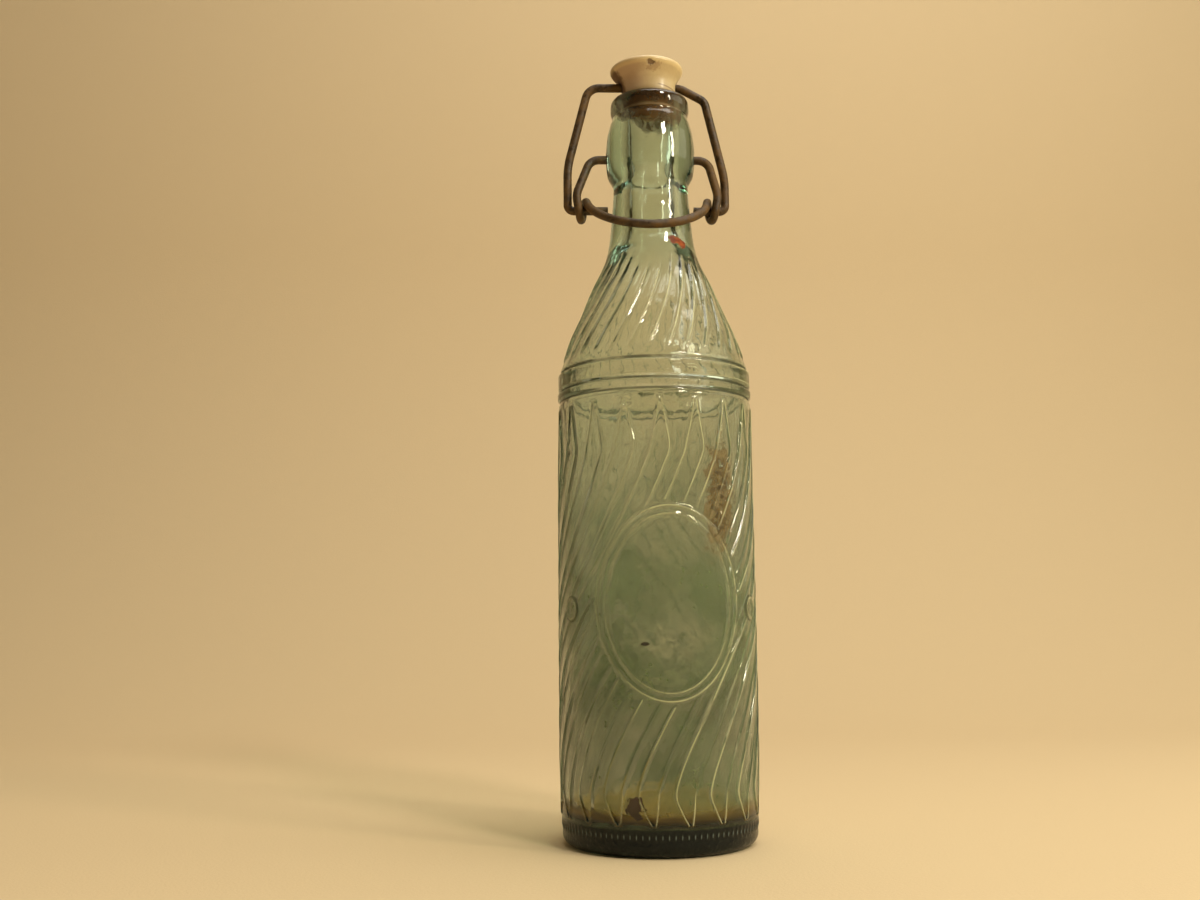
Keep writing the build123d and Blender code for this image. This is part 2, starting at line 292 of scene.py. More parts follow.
def cut(grid, tall, wide):
    """A grid of points cut into blocks of tall by wide cells, each with its rim: an array of
    blocks up, blocks round, tall + 1 and wide + 1."""
    rows = np.arange(0, grid.shape[0] - 1, tall)[:, None] + np.arange(tall + 1)
    columns = np.arange(0, grid.shape[1] - 1, wide)[:, None] + np.arange(wide + 1)
    return grid[rows[:, None, :, None], columns[None, :, None, :]]


def bend(blocks):
    """How far the points of each block leave the plain patch between its corners."""
    tall, wide = blocks.shape[2] - 1, blocks.shape[3] - 1
    up = (np.arange(tall + 1) / tall)[:, None, None]
    over = (np.arange(wide + 1) / wide)[:, None]
    bottom = blocks[..., :1, :1, :] * (1 - over) + blocks[..., :1, -1:, :] * over
    top = blocks[..., -1:, :1, :] * (1 - over) + blocks[..., -1:, -1:, :] * over
    return np.linalg.norm(blocks - bottom * (1 - up) - top * up, axis=-1).max((2, 3))


def wall_faces(points, tolerance):
    """Faces of a closed band of points: a block whose bend is under the tolerance, in mm,
    becomes one face unless a larger block has taken its place. Each face then takes into its
    rim all corners of its neighbours that lie there, so that no gap opens."""
    number = np.arange(points.shape[0] * points.shape[1]).reshape(points.shape[:2])
    number = np.hstack([number, number[:, :1]])
    closed = np.hstack([points, points[:, :1]])
    free = np.ones((number.shape[0] - 1, number.shape[1] - 1), bool)
    corner = np.zeros(number.size, bool)
    corner[number[[0, -1], ::WIDE]] = True
    rims = []
    for tall, wide in BLOCKS:
        taken = bend(cut(closed, tall, wide)) < tolerance
        if (tall, wide) == (TALL, WIDE):
            taken[[0, -1]] = True
        taken &= free.reshape(len(taken), tall, -1, wide).all((1, 3))
        free &= ~np.repeat(np.repeat(taken, tall, 0), wide, 1)
        block = cut(number, tall, wide)[taken]
        corner[block[:, [0, 0, -1, -1], [0, -1, -1, 0]]] = True
        sides = block[:, 0, :-1], block[:, :-1, -1], block[:, -1, :0:-1], block[:, :0:-1, 0]
        rims.append(np.hstack(sides))
    faces = []
    for rim in rims:
        for pattern in np.unique(corner[rim], axis=0):
            alike = (corner[rim] == pattern).all(1)
            faces += rim[alike][:, pattern].tolist()
    print("faces for each block shape:", dict(zip(BLOCKS, map(len, rims))))
    return faces


# %% Points of the wall
def between(values, parts):
    """The values with each step between them cut into equal parts."""
    places = np.arange((len(values) - 1) * parts + 1) / parts
    return np.interp(places, np.arange(len(values)), values)


def climb(*stretches):
    """Heights in steps: each stretch is (from, to, step)."""
    return np.concatenate([np.arange(a, b, step) for a, b, step in stretches])


coarse_heights = climb(
    (3.9, 10.0, 1.2), (10.0, 24, 1.0), (24, 46, 2.2), (46, 112, 2.2), (112, 130, 2.0),
    (130, 147, 1.15), (147, 163, 0.7), (163, 201, 2.3), (201, 226, 3.2), (226, 231, 0.84),
    (231, 240.5, 0.7), (240.5, 252, 1.6), (252, 259.3, 0.72),
)
height = between(coarse_heights, TALL)[:, None]
place = between(leaf_places, WIDE)[:-1]
spread = leaf_half_width(height)
share = (np.abs(place) - AT_EDGE) / (MID_GAP - AT_EDGE)
beyond = spread + share * (MID_GAP - spread)
crowded = np.where(share <= 0, place / AT_EDGE * spread, np.sign(place) * beyond)
crowded = np.arange(LEAVES)[:, None] * LEAF_PITCH + crowded[:, None, :]
crowded = crowded.reshape(len(height), -1)
even = np.linspace(-LEAF_PITCH / 2, 360 - LEAF_PITCH / 2, crowded.shape[1], endpoint=False)

# Below the leaves and above them, the columns ease back to even steps.
evenness = ease(146, 160, height) + 1 - ease(8.5, 12.5, height)
turns = leaf_middle(height) + crowded * (1 - evenness) + even * evenness
print("rows up the wall:", len(height), "columns round it:", crowded.shape[1])

# %% The wall round its axis, and its sockets
def round_rows(radii, heights, turns):
    """Points of a lathe: each row has one radius and height, or one for each column."""
    a = np.radians(turns)
    high = heights + np.zeros_like(a)
    return np.stack([radii * np.sin(a), -radii * np.cos(a), high], -1)


SOCKET_BOTTOM, SOCKET_LOW, SOCKET_HIGH = 12.9, 232.6, 237.1


def press_sockets(points):
    """Sinks an upright slot into each side of the bulge, as far as its bottom's distance from
    the axis. Distance is measured from the slot's middle line, and the walls ease in over
    half a millimetre."""
    x, y, z = np.moveaxis(points, -1, 0)
    past_ends = np.maximum(np.maximum(z - SOCKET_HIGH, SOCKET_LOW - z), 0)
    sunk = (1 - ease(1.65, 2.2, np.hypot(y, past_ends))) * (np.abs(x) > SOCKET_BOTTOM)
    points[..., 0] = x + (np.sign(x) * SOCKET_BOTTOM - x) * sunk
    return points


raised, edge = relief(turns, height)
radius = outside(height) + raised + waver(turns, height, 0.04) * (1 - ease(200, 226, height))
wall = press_sockets(round_rows(radius, height, turns))
print("wall points:", wall.shape[:2])

# %% [markdown]
# Under the bottle is a flat ring that it stands on, round a shallow dome, the punt. The wall's
# top ring goes on over the lip and down the hollow, whose floor domes up above the punt.

# %% Foot and hollow
low_turns, high_turns = turns[:1, ::WIDE], turns[-1:, ::WIDE]
punt = np.array([
    [3, 4.9], [8, 4.35], [13, 3.25], [18, 1.65], [21.4, 0.25], [22.4, 0.0], [28.4, 0.0],
])
HEEL_ROUND, CORNER_ROUND, HOLLOW_FLOOR = 3.9, 7, 16.4
heel_angles = np.radians(np.linspace(6, 78, 7))
heel_out, heel_up = np.sin(heel_angles), 1 - np.cos(heel_angles)
heel = np.stack([28.7 + HEEL_ROUND * heel_out, HEEL_ROUND * heel_up], -1)
foot = np.vstack([punt, heel])
foot_points = round_rows(foot[:, :1], foot[:, 1:], low_turns)

descend = np.r_[259.1, 258.2, 257.3, 256.4, 254, 251, 247, 242, 236, 230, 224, 218, 213]
descend = np.r_[descend, np.arange(209, 150, -4.0), np.arange(148, 20, -8.0), HOLLOW_FLOOR]
descend = descend[:, None]
hollow = inside(descend) + waver(high_turns, descend, 0.22) * (1 - ease(200, 214, descend))
corner_angles = np.radians(np.linspace(15, 90, 5))
corner_out = 23.6 + CORNER_ROUND * np.cos(corner_angles)
corner_high = HOLLOW_FLOOR - CORNER_ROUND * np.sin(corner_angles)
corner = np.stack([corner_out, corner_high], -1)
floor_rings = np.array([[19, 9.9], [13, 10.75], [7, 11.4], [2.5, 11.8]])
lip_rings = np.array([[11.2, 259.25], [10.5, 259.2]])
low_inside = np.vstack([corner, floor_rings])
hollow_points = np.concatenate([
    round_rows(lip_rings[:, :1], lip_rings[:, 1:], high_turns),
    round_rows(hollow, descend, high_turns),
    round_rows(low_inside[:, :1], low_inside[:, 1:], high_turns),
])
print("rings of the foot:", len(foot_points), "and of the hollow:", len(hollow_points))

# %% [markdown]
# Wall, foot and hollow share one list of points. Rows of quads join the foot's rings to the
# wall's lowest row, and its highest row to the hollow's rings, and a fan closes each middle.
# Two marks are kept on the points for the finish: which lie inside, and how near each is to
# the top of a raised edge.

# %% The glass mesh
FLAT_ENOUGH = 0.03  # mm that a block may bend and still be one face
wall_count, foot_count = wall[..., 0].size, foot_points[..., 0].size
wall_numbers = np.arange(wall_count).reshape(wall.shape[:2])[:, ::WIDE]
foot_numbers = np.arange(foot_count).reshape(len(foot), -1) + wall_count
hollow_numbers = np.arange(hollow_points[..., 0].size).reshape(len(hollow_points), -1)
hollow_numbers += wall_count + foot_count
poles = np.array([[0, 0, 5.0], [0, 0, 11.9]])
points = np.vstack([p.reshape(-1, 3) for p in (wall, foot_points, hollow_points, poles)])
under, above = len(points) - 2, len(points) - 1
faces = wall_faces(wall, FLAT_ENOUGH)
below_wall = np.vstack([foot_numbers, wall_numbers[:1]])
over_wall = np.vstack([wall_numbers[-1:], hollow_numbers])
for rings in (below_wall, over_wall):
    right = np.roll(rings, -1, axis=1)
    quads = np.stack([rings[:-1], right[:-1], right[1:], rings[1:]], -1)
    faces += quads.reshape(-1, 4).tolist()
for pole, ring in ((under, foot_numbers[0]), (above, hollow_numbers[-1][::-1])):
    faces += np.stack([np.full(len(ring), pole), np.roll(ring, -1), ring], -1).tolist()

# Only the points that some face uses go into the mesh, numbered afresh.
sizes = np.array([len(face) for face in faces])
used, renumbered = np.unique(np.concatenate(faces), return_inverse=True)
faces = [face.tolist() for face in np.split(renumbered, np.cumsum(sizes)[:-1])]
glass_mesh = bpy.data.meshes.new("pressed_glass")
glass_mesh.from_pydata(points[used] * MM, [], faces)
glass_mesh.polygons.foreach_set("use_smooth", np.ones(len(faces), bool))
is_inside = (used >= hollow_numbers[len(lip_rings), 0]) & (used != under)
is_edge = np.where(used < wall_count, edge.ravel()[np.minimum(used, wall_count - 1)], 0)
for name, values in (("inside", is_inside), ("edge", is_edge)):
    mark = glass_mesh.attributes.new(name, "FLOAT", "POINT")
    mark.data.foreach_set("value", values.astype(np.float32))
glass = bpy.data.objects.new("pressed_glass", glass_mesh)
bpy.context.scene.collection.objects.link(glass)
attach(glass, "bottle")
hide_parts("bottle")
print("pressed_glass triangles:", int((sizes - 2).sum()))

# %% [markdown]
# ## Stopper and washer
# The stopper is turned porcelain: a flared head with a hole across it for the bail, and a
# spigot below that carries the washer. The bail fills the hole, so a dimple on each side
# where the wire goes in is all that shows of it. The head was pulled a little to the left
# by its wire, and it is chipped on the front, under the rim.

# %% Stopper
head_profile = np.array([
    [1.5, 250.1], [3.3, 250.1], [3.6, 250.7], [3.6, 251.3], [3.4, 251.4], [3.4, 259.9],
    [8.9, 260.0], [9.3, 260.2], [9.5, 260.8], [9.6, 262.0], [9.75, 263.2], [9.95, 264.4],
    [10.3, 265.5], [10.75, 266.5], [11.35, 267.4], [12.0, 268.3], [12.6, 269.1], [12.95, 269.7],
    [13.1, 270.2], [13.0, 270.75], [12.65, 271.2], [12.1, 271.55], [11.3, 271.8], [10.3, 272.0],
    [9, 272.3], [7, 272.8], [5, 273.25], [2.5, 273.55],
])
HOLE_HEIGHT, LEAN = 264.2, 0.085
run = np.r_[0, np.cumsum(np.hypot(*np.diff(head_profile, axis=0).T))]
steps = np.linspace(0, run[-1], 110)
head_profile = np.stack([through(run, column)(steps) for column in head_profile.T], -1)
head_turns = np.linspace(0, 360, 180, endpoint=False)[None, :]
head_radius, head_height = head_profile[:, :1], head_profile[:, 1:]
unround = 1 + 0.006 * np.sin(np.radians(3 * head_turns + 40)) * ease(262, 270, head_height)
tilt = 0.22 * np.sin(np.radians(head_turns - 60)) * ease(266, 272, head_height) * head_radius / 13
head_points = round_rows(head_radius * unround, head_height + tilt, head_turns)
head_points[..., 0] -= LEAN * np.maximum(head_points[..., 2] - 260, 0)
x, y, z = np.moveaxis(head_points, -1, 0)
around_wire = np.hypot(y, z - HOLE_HEIGHT)
hole = (1 - ease(1.55, 1.85, around_wire)) * (np.abs(x) > 6)
head_points[..., 0] = x - np.sign(x) * 2.5 * hole
chip = bump_line(np.hypot(x + 0.1, (z - 268.6) * 1.6), 1.4) * (y < -9)
head_points[..., 1] += 0.2 * chip
stopper = skin("porcelain_stopper", head_points, (0, 0, 250.1), (0, 0, 273.6))
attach(stopper, "stopper")
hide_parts("stopper")

# %% [markdown]
# The washer is old red rubber, squeezed into the mouth and hardened. Its skin is lined
# where it was folded, and its lower edge has crumbled, so the profile gets small uneven
# waves that grow towards the bottom.

# %% Washer
washer_profile = np.array([
    [3.5, 251.35], [4.4, 251.3], [4.95, 251.45], [5.2, 251.9], [5.5, 252.7], [5.85, 253.5],
    [6.15, 254.2], [6.5, 255.0], [6.9, 255.7], [7.3, 256.4], [7.8, 257.2], [8.3, 258.1],
    [8.8, 259.0], [9.2, 259.55], [9.28, 259.8], [9.1, 259.95], [6.0, 259.98], [3.5, 259.98],
])
washer_turns = np.linspace(0, 360, 192, endpoint=False)[None, :]
ring_radius, ring_height = washer_profile[:, :1], washer_profile[:, 1:]
a = np.radians(washer_turns)
crumble = (1 - ease(252.5, 257, ring_height)) * ease(3.6, 4.8, ring_radius)
rough = np.sin(7 * a + 1) * np.sin(3 * a) + 0.6 * np.sin(19 * a + 2) + 0.4 * np.sin(31 * a)
ring_radius = ring_radius - 0.16 * crumble * (1 + rough / 2)
ring_height = ring_height + 0.3 * crumble * (1 + rough / 2)
crease = 0.05 * np.sin(3.1 * ring_height) * ease(4, 6, ring_radius)
washer_points = round_rows(ring_radius - crease, ring_height, washer_turns)
washer = skin("rubber_washer", washer_points, (0, 0, 251.4), (0, 0, 259.97))
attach(washer, "stopper")
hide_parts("washer")

# %% [markdown]
# ## Shader sums
# A finish is mostly masks: where is it stained, chipped, worn. Masks are arithmetic, so a
# small class wraps a node's output and turns Python's operators into Math nodes. Every
# other node comes from one method, add, which sets its options first and then its inputs.

# %% Signals and finishes
class Signal:
    """A node output that does arithmetic by adding Math nodes."""

    def __init__(self, finish, socket):
        self.finish, self.socket = finish, socket

    def sum(self, operation, *values):
        """One Math node on some numbers or signals."""
        return self.finish.add("ShaderNodeMath", {"operation": operation}, *values)

    def __add__(self, other):
        return self.sum("ADD", self, other)

    def __sub__(self, other):
        return self.sum("SUBTRACT", self, other)

    def __rsub__(self, other):
        return self.sum("SUBTRACT", other, self)

    def __mul__(self, other):
        return self.sum("MULTIPLY", self, other)

    __radd__ = __add__
    __rmul__ = __mul__

    def size(self):
        """The number without its sign."""
        return self.sum("ABSOLUTE", self)

    def fade(self, low, high):
        """1 below low, 0 above high, with a smooth S between them."""
        options = {"interpolation_type": "SMOOTHSTEP", "clamp": True}
        return self.finish.add("ShaderNodeMapRange", options, self, low, high, 1.0, 0.0)

    def rise(self, low, high):
        """0 below low, 1 above high."""
        return 1 - self.fade(low, high)


class Finish:
    """A material, or a world, whose nodes are added one by one."""

    def __init__(self, owner, output="ShaderNodeOutputMaterial", place="Object"):
        self.owner = owner
        owner.use_nodes = True
        self.nodes, self.links = owner.node_tree.nodes, owner.node_tree.links
        self.nodes.clear()
        self.output = self.nodes.new(output)
        self.place = self.add("ShaderNodeTexCoord", out=place)

    def add(self, kind, settings=None, *values, out=0, **named):
        """Adds a node, sets its options, then gives values or links to its inputs, in order
        or by name with spaces for underscores. None leaves an input as it is."""
        node = self.nodes.new(kind)
        for option, value in (settings or {}).items():
            setattr(node, option, value)
        pairs = list(enumerate(values)) + [(key.replace("_", " "), v) for key, v in named.items()]
        for key, value in pairs:
            if isinstance(value, Signal):
                self.links.new(value.socket, node.inputs[key])
            elif value is not None:
                node.inputs[key].default_value = value
        return Signal(self, node.outputs[out])

    def noise(self, scale, detail, roughness, distortion=0.0):
        """Cloudy noise, a number round 0.5, with scale in lumps per metre."""
        return self.add(
            "ShaderNodeTexNoise", None, self.place, None, scale, detail, roughness,
            Distortion=distortion,
        )

    def blend(self, share, low, high):
        """Mixes two colours by a share from 0 to 1."""
        node = self.nodes.new("ShaderNodeMix")
        node.data_type = "RGBA"
        for key, value in ((0, share), (6, low), (7, high)):
            if isinstance(value, Signal):
                self.links.new(value.socket, node.inputs[key])
            else:
                node.inputs[key].default_value = value if key == 0 else (*value, 1.0)
        return Signal(self, node.outputs[2])

    def coats(self, colour, *layers):
        """Lays coats over a colour, one after the other. Each is a share and its own colour."""
        for share, coat in layers:
            colour = self.blend(share, colour, coat)
        return colour

    def bump(self, height, depth, strength=1.0, normal=None):
        """Turns a height from 0 to 1 into a tilt of the surface; depth is in metres."""
        return self.add(
            "ShaderNodeBump", None, Strength=strength, Distance=depth, Height=height, Normal=normal
        )

    def surface(self, **values):
        """A Principled shader."""
        return self.add("ShaderNodeBsdfPrincipled", None, **values)

    def axes(self):
        """The three coordinates of the place, each as a signal, in metres on an object."""
        split = self.add("ShaderNodeSeparateXYZ", None, self.place).socket.node
        return [Signal(self, split.outputs[axis]) for axis in range(3)]

    def show(self, shader, **others):
        """Links a shader, and others by name, to the output and gives back the material."""
        for socket, signal in {"Surface": shader, **others}.items():
            self.links.new(signal.socket, self.output.inputs[socket])
        print(self.owner.name, "nodes:", len(self.nodes))
        return self.owner


def new_finish(name):
    return Finish(bpy.data.materials.new(name))


def rgb(r, g, b):
    """A colour as read off a screen, 0 to 255, turned into the linear light that shaders use."""
    c = np.array([r, g, b]) / 255
    return tuple(np.where(c <= 0.04045, c / 12.92, ((c + 0.055) / 1.055) ** 2.4).tolist())


print("mid grey of a screen as linear light:", round(rgb(128, 128, 128)[0], 3))

# %% [markdown]
# ## Glass finish
# Cheap bottle glass is aqua green from the iron in its sand, and the colour builds up with
# thickness, so it comes from the volume: a thin wall is nearly clear, while the heel and the
# silhouette, seen along the wall, go deep green. Dried drink and dust lie on the inner skin
# as a thin uneven film, thickest at the bottom. The film is also painted thicker and darker
# towards the bottom and paler towards the top, which is painted shade on the lower body.
# The film is a second, dull shader, mixed in by a mask, and the same dull shader carries
# the painted shade and painted highlights outside. The masks are places on the bottle: its
# Object coordinates in metres, the turn round the axis, and the two marks on the mesh, each
# made ragged with noise.

# %% Places on the glass
glass_finish = new_finish("moulded_glass")
gx, gy, gz = glass_finish.axes()
turn = gx.sum("ARCTAN2", gx, 0 - gy)
inner = glass_finish.add("ShaderNodeAttribute", {"attribute_name": "inside"}, out="Fac")
edges = glass_finish.add("ShaderNodeAttribute", {"attribute_name": "edge"}, out="Fac")
cloud = glass_finish.noise(38, 5, 0.6)
grain = glass_finish.noise(420, 3, 0.6)


def oval_size(at_turn, at_height, half_width, half_height, radius=33.0, slant=0.0):
    """0 in the middle of an oval on the glass and 1 on its rim. It lies at a turn in degrees
    and a height in mm. Slant is how much it drops for its own width on the way right."""
    over = (turn - radians(at_turn)) * (radius / half_width)
    up = (gz - at_height * MM) * (1 / (half_height * MM)) + over * slant
    return over.sum("SQRT", over * over + up * up)


def patch(*oval_on_glass, rag=0.5, **more):
    """1 inside a ragged oval on the glass, given as for oval_size."""
    size = oval_size(*oval_on_glass, **more)
    return (size + (grain - 0.5) * (2 * rag) + (cloud - 0.5) * rag).fade(0.8, 1.1)


def hoop(height, width):
    """1 along a level line round the bottle, at a height and with a half width in mm."""
    return (gz - height * MM).size().fade(0.3 * width * MM, width * MM)


def most(first, *rest):
    """The largest of several masks."""
    for mask in rest:
        first = first.sum("MAXIMUM", first, mask)
    return first


# %% [markdown]
# Inside lie the sediment, with a darker silt under it, the film that thins out towards the
# neck, dust specks, the rust that ran down from a socket, and grime in the mouth.

# %% Film on the inside
sediment = (gz + (cloud - 0.5) * 0.008).fade(0.0105, 0.0175) * inner
silt = (gz + (cloud - 0.5) * 0.003).fade(0.0095, 0.012) * inner
# Painted shade: the film thickens towards the bottom, so the lower body looks darker.
dust_and_low_shade = (0.2 + cloud.rise(0.3, 0.7) * 0.3) * gz.fade(0.05, 0.162) * inner
on_the_back = gy.rise(0.0, 0.012) * 0.2
thin = (0.1 + cloud.rise(0.35, 0.7) * 0.12 + on_the_back) * inner
thin = thin * (1 - gz.rise(0.132, 0.205) * 0.62)
speckle = grain.rise(0.6, 0.7) * inner * 0.22 * gz.fade(0.15, 0.18)
rust_run = patch(36, 112, 6.0, 18, rag=1.5) * inner * (0.66 + grain.rise(0.4, 0.65) * 0.32)
maroon = patch(-19, 15.2, 3.1, 3.3, rag=1.2) * inner
black_fleck = patch(-12, 66, 1.6, 0.6, rag=0.6) * inner
mouth_grime = (gz + (cloud - 0.5) * 0.02).rise(0.2462, 0.2492) * inner
mouth_grime = mouth_grime * (0.62 + grain.rise(0.35, 0.6) * 0.3)
seal_line = gz.rise(0.2547, 0.2551) * gz.fade(0.2555, 0.2562) * inner

# %% [markdown]
# Outside, dirt sits in the sockets, and the grooves of the band and the outline of the side
# rings are darker. The underside and the knurled heel are painted near black as painted
# shade, with painted glints on the knobs. Raised edges are painted pale as painted
# highlights, most of all in front and on the right, and a little orange-red paint is left
# at the foot of the neck.

# %% Dirt, wear and painted light on the outside
outer = 1 - inner
# Painted highlights: raised edges are painted pale, most of all in front and on the right.
painted_edge_highlights = edges.rise(0.5, 1.0) * (0.25 + cloud.rise(0.35, 0.65) * 0.35)
painted_edge_highlights = painted_edge_highlights * (0.3 + turn.rise(-0.75, -0.1) * 0.7)
socket_floor = (gx * gx).rise(0.00014, 0.00015) * (gy * gy).fade(0.0000035, 0.000005) * outer
socket_floor = socket_floor * gz.rise(0.23, 0.231) * gz.fade(0.239, 0.24)
# The grooves of the band and the outlines of the side rings are darkened.
grooves = (hoop(148.3, 0.5) + hoop(151.9, 0.5) + hoop(158.7, 0.7)) * outer
grooves = grooves * (0.2 + cloud.rise(0.35, 0.6) * 0.6)
for side_turn, side_height in SIDE_MIDDLES:
    outline = (oval_size(side_turn, side_height, 3.6, 3.9) - 1).size()
    grooves = grooves + outline.fade(0.06, 0.2) * outer * 0.5
from_axis = gx.sum("SQRT", gx * gx + gy * gy)
# Painted shade: the foot's underside is painted dark, which darkens the heel seen through the glass.
painted_foot_shade = gz.fade(0.0046, 0.0061) * from_axis.fade(0.0287, 0.0305) * outer
stipple_place = glass_finish.add("ShaderNodeCombineXYZ", None, turn * 0.033, gz, 0.0)
stipple = glass_finish.add(
    "ShaderNodeTexVoronoi", {"feature": "DISTANCE_TO_EDGE"}, stipple_place, None, 520.0
)
# Painted shade: the heel band is painted near black and made glossier.
heel_shade_band = gz.fade(0.0086, 0.0096) * outer
painted_heel_shade = heel_shade_band * (0.86 + stipple.fade(0.02, 0.22) * 0.12)
paint = patch(32, 203.0, 3.3, 1.4, rag=1.5, radius=15.3, slant=0.7) * outer

# %% Colour of film, dirt and painted light
# The dull share holds the real film and dirt, and also the painted shade and painted highlights.
dull_share = most(
    dust_and_low_shade + thin + speckle, sediment * 0.8, silt * 0.97, rust_run, maroon * 0.95,
    black_fleck * 0.95, mouth_grime, seal_line * 0.9, socket_floor * 0.95, grooves,
    painted_foot_shade * 0.9, painted_heel_shade, paint * 0.96, painted_edge_highlights,
)
dust_and_shade_colour = glass_finish.blend(cloud.rise(0.3, 0.7), rgb(66, 79, 44), rgb(98, 107, 67))
rust_colour = glass_finish.blend(grain.rise(0.4, 0.65), rgb(122, 88, 24), rgb(62, 44, 12))
paint_colour = glass_finish.blend(grain.rise(0.4, 0.6), rgb(118, 48, 10), rgb(166, 78, 12))
dull_colour = glass_finish.coats(
    dust_and_shade_colour,
    # Painted shade: the next three coats make the film paler with height, so the lower body stays
    # darker.
    (gz.rise(0.035, 0.07) * 0.2, rgb(146, 152, 98)),
    (gz.rise(0.11, 0.19) * 0.85, rgb(164, 154, 100)),
    (gz.rise(0.195, 0.222) * 0.8, rgb(194, 170, 114)),
    (sediment, rgb(194, 150, 58)),
    (silt, rgb(158, 128, 56)),
    (grooves.rise(0.0, 0.2), rgb(44, 50, 28)),
    (rust_run.rise(0.0, 0.3), rust_colour),
    (maroon, rgb(56, 20, 15)),
    (black_fleck, rgb(38, 24, 18)),
    (mouth_grime.rise(0.0, 0.4), rgb(104, 62, 20)),
    (seal_line, rgb(156, 116, 80)),
    (socket_floor, rgb(44, 40, 20)),
    # Painted shade on the foot's underside.
    (painted_foot_shade, rgb(34, 38, 30)),
    # Painted highlights on the raised edges.
    (painted_edge_highlights.rise(0.0, 0.1), rgb(210, 208, 162)),
    # Painted shade on the heel band.
    (heel_shade_band, rgb(12, 20, 20)),
    # Painted glints: the tops of the heel's knobs are painted pale.
    (heel_shade_band * edges.rise(0.45, 0.95) * 0.45, rgb(150, 166, 158)),
    (paint, paint_colour),
)
print("nodes for the film:", len(glass_finish.nodes))

# %% [markdown]
# The clear shader bends light as glass of index 1.5 does, over three bumps: slow ripples, a
# fine unevenness and the stipple of the heel. For shadow rays it turns into a pale filter,
# since clear glass would otherwise cast a black shadow. Absorption in the volume gives the
# green: at 50 per metre a wall of 3 mm keeps nine tenths of all light, while 20 mm along a
# silhouette keep two thirds of the green and half of the red.

# %% Moulded glass
on_the_heel = gz.fade(0.0066, 0.0076) * gz.rise(0.0015, 0.003) * outer
stippled = stipple.fade(0.1, 0.45) * on_the_heel
dimpled = glass_finish.bump(glass_finish.noise(60, 2, 0.5, 0.6), 0.0012, 0.4)
dimpled = glass_finish.bump(glass_finish.noise(260, 2, 0.5), 0.00018, 0.5, dimpled)
dimpled = glass_finish.bump(1 - stippled, 0.00025, 0.5, dimpled)
clear = glass_finish.surface(
    Base_Color=(0.97, 0.99, 0.98, 1.0), Roughness=0.03 + dull_share * 0.2, IOR=1.5,
    Transmission_Weight=1.0, Normal=dimpled,
)
dull = glass_finish.surface(
    Base_Color=dull_colour, Roughness=0.6 - heel_shade_band * 0.35, Specular_IOR_Level=0.25,
    Normal=dimpled,
)
lamplight = glass_finish.add("ShaderNodeLightPath", out="Is Shadow Ray")
let_through = glass_finish.add("ShaderNodeBsdfTransparent", None, (0.86, 0.92, 0.9, 1.0))
clear = glass_finish.add("ShaderNodeMixShader", None, lamplight, clear, let_through)
filmed = glass_finish.add("ShaderNodeMixShader", None, dull_share, clear, dull)
tint = glass_finish.add("ShaderNodeVolumeAbsorption", None, (0.36, 0.62, 0.50, 1.0), 50.0)
glass.data.materials.append(glass_finish.show(filmed, Volume=tint))

# %% [markdown]
# ## Porcelain finish
# The glaze is a warm white that has yellowed with age, pinker on its left side. From just
# under its widest ring upwards the head is painted paler, a painted highlight from above. It
# is rusty where the wire rubs, brown where the rim is chipped to the body and smudged below
# that, and a dark brown strip runs down its left flank. One thin crack runs round its right
# side. The stains are spots near a point, made ragged with noise, and each is laid over the
# glaze as a coat.

# %% Porcelain
porcelain = new_finish("glazed_porcelain")
px, py, pz = porcelain.axes()
blotch = porcelain.noise(90, 4, 0.6)
fine = porcelain.noise(700, 3, 0.6)


def near(point, reach, rag, noise, flat=1.0):
    """1 within reach of a point, both in mm, with a ragged edge. Flat is how many times wider
    than tall the spot is."""
    dx, dy, dz = (axis - p * MM for axis, p in zip((px, py, pz), point))
    dz = dz * flat
    away = dx.sum("SQRT", dx * dx + dy * dy + dz * dz) * (1 / (reach * MM))
    return (away + (noise - 0.5) * rag).fade(0.7, 1.15)


chipped = near((-0.3, -12.1, 268.7), 1.4, 2.8, fine, 1.6)
smudged = near((0.4, -11.7, 267.7), 2.9, 2.4, fine, 1.7)
crack = (pz - 0.26205 + (px - 0.0032) * 0.104 + (fine - 0.5) * 0.0006).size()
crack = crack.fade(0.0001, 0.0004) * px.rise(0.002, 0.0032) * py.fade(-0.003, 0.0)
# Painted highlight: the head is painted paler from just under its widest ring upwards.
painted_rim_highlight = (pz + (blotch - 0.5) * 0.0006).rise(0.2684, 0.2692)
left_side = px.fade(-0.009, -0.008)
# A dark brown strip down the left flank, from under the rim to the wire.
left_flank_brown = (py + 0.0045 + (fine - 0.5) * 0.004).rise(-0.001, 0.0015) * left_side
left_flank_brown = left_flank_brown * pz.fade(0.2685, 0.2705)
left_hole = near((-10.0, 0.0, HOLE_HEIGHT), 2.9, 0.8, blotch)
right_hole = near((10.0, 0.0, HOLE_HEIGHT), 2.4, 0.8, blotch)
foot_stain = (pz + (blotch - 0.5) * 0.003).fade(0.2600, 0.2622)
glaze = porcelain.coats(
    porcelain.blend(blotch.rise(0.3, 0.7), rgb(196, 173, 128), rgb(208, 188, 140)),
    (px.fade(-0.008, 0.002) * 0.6, rgb(196, 158, 136)),
    # Painted highlight on the upper rim.
    (painted_rim_highlight * 0.5, rgb(232, 208, 152)),
    (foot_stain * 0.35, rgb(150, 116, 70)),
    (crack * 0.7, rgb(110, 76, 34)),
    # The dark brown strip on the left flank.
    (left_flank_brown * 0.85, rgb(96, 62, 26)),
    (left_hole * 0.85, rgb(70, 44, 24)),
    (right_hole * 0.7, rgb(110, 78, 40)),
    (smudged * 0.45, rgb(140, 98, 62)),
    (chipped * 0.7, rgb(98, 66, 30)),
)
pits = porcelain.bump(fine, 0.0002, 0.35)
